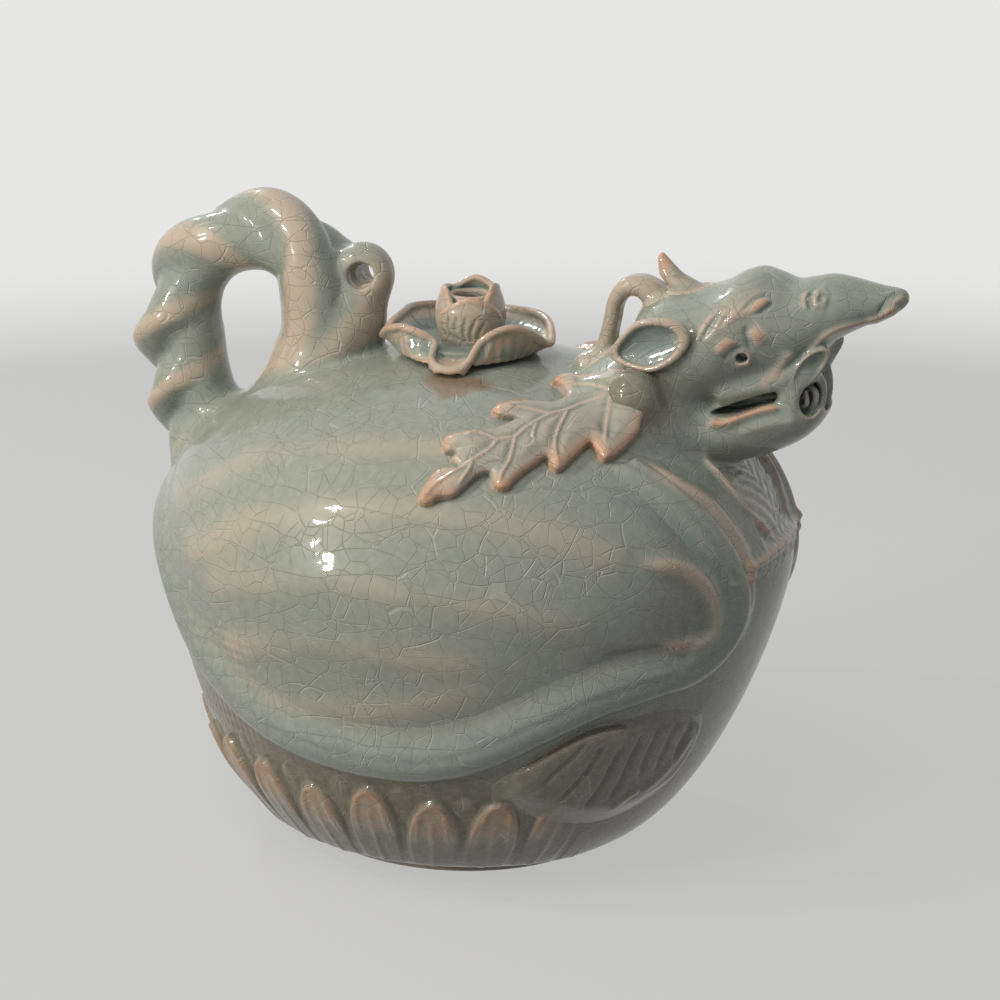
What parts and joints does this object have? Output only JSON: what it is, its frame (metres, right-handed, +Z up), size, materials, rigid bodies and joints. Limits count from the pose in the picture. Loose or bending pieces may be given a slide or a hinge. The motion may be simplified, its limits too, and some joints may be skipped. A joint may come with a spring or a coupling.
{
  "type": "turtle-shaped ewer",
  "caption": "Celadon ewer shaped as a dragon-headed turtle: hollow body, spout through the head, handle of twisted stems, cord lug and lift-off lotus lid.",
  "frame": {"origin": "on the underside of the foot, below the middle of the body's widest level", "axes": "+X towards the head and spout, +Y towards the turtle's left side, +Z up"},
  "size_m": [0.2373, 0.1656, 0.1955],
  "materials": {
    "celadon_glaze": "glossy, finely crackled blue-green celadon glaze",
    "celadon_relief": "thin glossy glaze that shows the pinkish body on raised edges",
    "bare_clay": "unglazed fired stoneware, matt"
  },
  "bodies": {
    "ewer": {"lower_body_right": "celadon_glaze", "lower_body_left": "celadon_glaze", "upper_body": "celadon_glaze", "foot": "bare_clay", "head": "celadon_glaze", "lower_jaw": "celadon_glaze", "neck": "celadon_glaze", "tongue": "celadon_relief", "horn": "celadon_relief", "crest_loop": "celadon_glaze", "ear_right": "celadon_glaze", "ear_left": "celadon_glaze", "brow_right": "celadon_relief", "brow_left": "celadon_relief", "eye_right": "celadon_glaze", "eye_left": "celadon_glaze", "lip_curl_right": "celadon_relief", "lip_curl_left": "celadon_relief", "neck_knob_right": "celadon_glaze", "neck_knob_left": "celadon_glaze", "mane_leaf_right": "celadon_relief", "mane_leaf_left": "celadon_relief", "shell_rim_right": "celadon_glaze", "shell_rim_left": "celadon_glaze", "flipper_right": "celadon_glaze", "flipper_left": "celadon_glaze", "handle_stem_1": "celadon_glaze", "handle_stem_2": "celadon_glaze", "cord_lug": "celadon_glaze"},
    "lid": {"lid_plate": "celadon_glaze", "lid_flange": "celadon_glaze", "lid_petal_1": "celadon_relief", "lid_petal_2": "celadon_relief", "lid_petal_3": "celadon_relief", "lid_petal_4": "celadon_relief", "lid_petal_5": "celadon_relief", "bud_petal_1": "celadon_relief", "bud_petal_2": "celadon_relief", "bud_petal_3": "celadon_relief", "bud_petal_4": "celadon_relief", "bud_petal_5": "celadon_relief", "bud_tube": "celadon_glaze"}
  },
  "joints": [
    {"name": "lid_lift", "type": "slide", "parent": "ewer", "child": "lid", "axis": [0, 0, 1], "range_m": [0, 0.06]}
  ]
}
